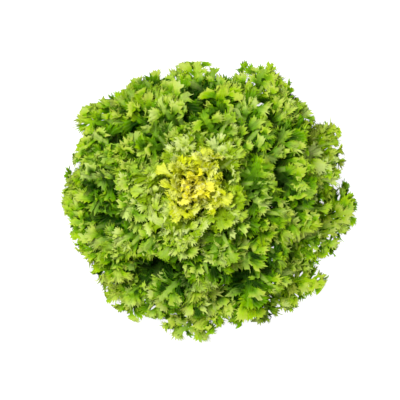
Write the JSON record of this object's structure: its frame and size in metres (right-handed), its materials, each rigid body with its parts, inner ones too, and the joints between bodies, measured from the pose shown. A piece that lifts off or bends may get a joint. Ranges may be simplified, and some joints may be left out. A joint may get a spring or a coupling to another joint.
{
  "type": "curly endive head",
  "caption": "Head of curly endive: a low dome of finely cut, ruffled leaves in nested whorls, yellow at the heart and green outside, on a short crown cut flat.",
  "frame": {"origin": "centre of the crown's flat cut face, in the plane of that face", "axes": "+Z up through the heart; +X to the side where the head spreads furthest and +Y at a right angle to it, so that +X is right and +Y is up when the head is looked down on with its two bottom tufts towards the viewer"},
  "size_m": [0.3041, 0.2924, 0.1017],
  "materials": {
    "crown": "matte",
    "outer_leaf": "satin",
    "middle_leaf": "satin",
    "inner_leaf": "satin",
    "heart_leaf": "satin",
    "heart_bud": "satin"
  },
  "bodies": {
    "root": {"crown": "crown", "heart_bud": "heart_bud", "leaf_a1": "outer_leaf", "leaf_a2": "outer_leaf", "leaf_a3": "outer_leaf", "leaf_a4": "outer_leaf", "leaf_a5": "outer_leaf", "leaf_a6": "outer_leaf", "leaf_a7": "outer_leaf", "leaf_a8": "outer_leaf", "leaf_a9": "outer_leaf", "leaf_b1": "outer_leaf", "leaf_b2": "outer_leaf", "leaf_b3": "outer_leaf", "leaf_b4": "outer_leaf", "leaf_b5": "outer_leaf", "leaf_b6": "outer_leaf", "leaf_b7": "outer_leaf", "leaf_b8": "outer_leaf", "leaf_b9": "outer_leaf", "leaf_c1": "middle_leaf", "leaf_c2": "middle_leaf", "leaf_c3": "middle_leaf", "leaf_c4": "middle_leaf", "leaf_c5": "middle_leaf", "leaf_c6": "middle_leaf", "leaf_c7": "middle_leaf", "leaf_c8": "middle_leaf", "leaf_d1": "middle_leaf", "leaf_d2": "middle_leaf", "leaf_d3": "middle_leaf", "leaf_d4": "middle_leaf", "leaf_d5": "middle_leaf", "leaf_d6": "middle_leaf", "leaf_d7": "middle_leaf", "leaf_e1": "inner_leaf", "leaf_e2": "inner_leaf", "leaf_e3": "inner_leaf", "leaf_e4": "inner_leaf", "leaf_e5": "inner_leaf", "leaf_e6": "inner_leaf", "leaf_f1": "inner_leaf", "leaf_f2": "inner_leaf", "leaf_f3": "inner_leaf", "leaf_f4": "inner_leaf", "leaf_f5": "inner_leaf", "leaf_f6": "inner_leaf", "leaf_g1": "heart_leaf", "leaf_g2": "heart_leaf", "leaf_g3": "heart_leaf", "leaf_g4": "heart_leaf", "leaf_g5": "heart_leaf", "leaf_h1": "heart_leaf", "leaf_h2": "heart_leaf", "leaf_h3": "heart_leaf", "leaf_h4": "heart_leaf", "leaf_i1": "heart_leaf", "leaf_i2": "heart_leaf", "leaf_i3": "heart_leaf"}
  },
  "joints": []
}
